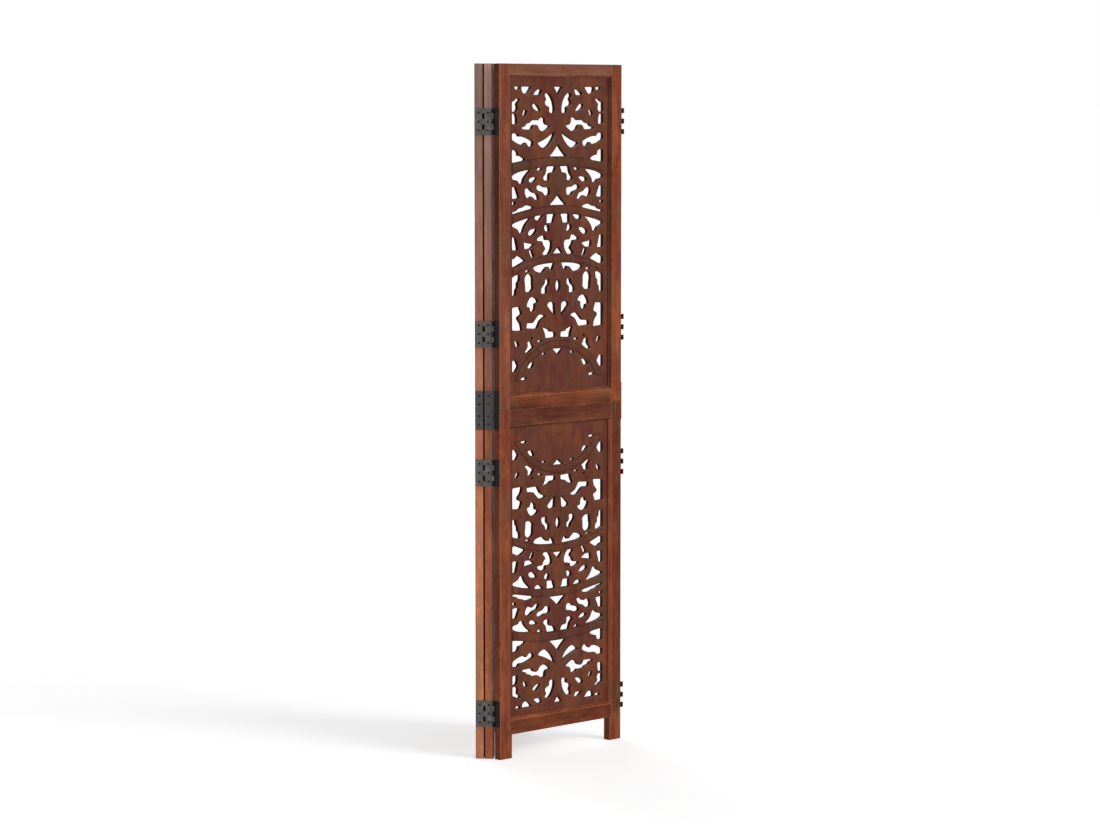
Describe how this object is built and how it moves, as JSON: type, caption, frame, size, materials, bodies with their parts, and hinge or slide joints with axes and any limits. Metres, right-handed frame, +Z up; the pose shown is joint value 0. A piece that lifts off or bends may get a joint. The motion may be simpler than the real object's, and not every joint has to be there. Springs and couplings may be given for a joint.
{
  "type": "folding screen",
  "caption": "Folding wooden room divider: tall hinged panels in halves, each half a bevelled frame round a pierced jali board of leaves and scrolls, on short legs.",
  "frame": {"origin": "centre of the bounding box of the screen as it stands, on the floor", "axes": "+Z up, -Y the side that the front panel's carved face looks to, +X to its right"},
  "size_m": [0.4364, 0.3272, 1.65],
  "materials": {
    "frame_wood": "semi-gloss lacquer over red-brown stain",
    "board_wood": "semi-gloss lacquer over red-brown stain",
    "hinge_steel": "dark antique, satin",
    "screw_steel": "dark antique, satin",
    "pin_steel": "drawn wire"
  },
  "bodies": {
    "front_panel": {"front_bottom_rail": "frame_wood", "front_hinge_pins": "pin_steel", "front_hinge_screws": "screw_steel", "front_joining_plates": "hinge_steel", "front_left_hinge_leaves": "hinge_steel", "front_lower_jali_board": "board_wood", "front_lower_left_stile": "frame_wood", "front_lower_middle_rail": "frame_wood", "front_lower_right_stile": "frame_wood", "front_plate_screws": "screw_steel", "front_right_hinge_leaves": "hinge_steel", "front_top_rail": "frame_wood", "front_upper_jali_board": "board_wood", "front_upper_left_stile": "frame_wood", "front_upper_middle_rail": "frame_wood", "front_upper_right_stile": "frame_wood"},
    "middle_panel": {"middle_bottom_rail": "frame_wood", "middle_hinge_screws": "screw_steel", "middle_joining_plates": "hinge_steel", "middle_left_hinge_leaves": "hinge_steel", "middle_lower_jali_board": "board_wood", "middle_lower_left_stile": "frame_wood", "middle_lower_middle_rail": "frame_wood", "middle_lower_right_stile": "frame_wood", "middle_plate_screws": "screw_steel", "middle_right_hinge_leaves": "hinge_steel", "middle_top_rail": "frame_wood", "middle_upper_jali_board": "board_wood", "middle_upper_left_stile": "frame_wood", "middle_upper_middle_rail": "frame_wood", "middle_upper_right_stile": "frame_wood"},
    "rear_panel": {"rear_bottom_rail": "frame_wood", "rear_hinge_pins": "pin_steel", "rear_hinge_screws": "screw_steel", "rear_joining_plates": "hinge_steel", "rear_left_hinge_leaves": "hinge_steel", "rear_lower_jali_board": "board_wood", "rear_lower_left_stile": "frame_wood", "rear_lower_middle_rail": "frame_wood", "rear_lower_right_stile": "frame_wood", "rear_plate_screws": "screw_steel", "rear_right_hinge_leaves": "hinge_steel", "rear_top_rail": "frame_wood", "rear_upper_jali_board": "board_wood", "rear_upper_left_stile": "frame_wood", "rear_upper_middle_rail": "frame_wood", "rear_upper_right_stile": "frame_wood"}
  },
  "joints": [
    {"name": "front_hinge", "type": "hinge", "parent": "front_panel", "child": "middle_panel", "pos_m": [-0.19082, -0.13861, 0.825], "axis": [0, 0, 1], "range_deg": [-42, 138]},
    {"name": "rear_hinge", "type": "hinge", "parent": "middle_panel", "child": "rear_panel", "pos_m": [0.09618, 0.14941, 0.825], "axis": [0, 0, -1], "range_deg": [0, 180]}
  ]
}
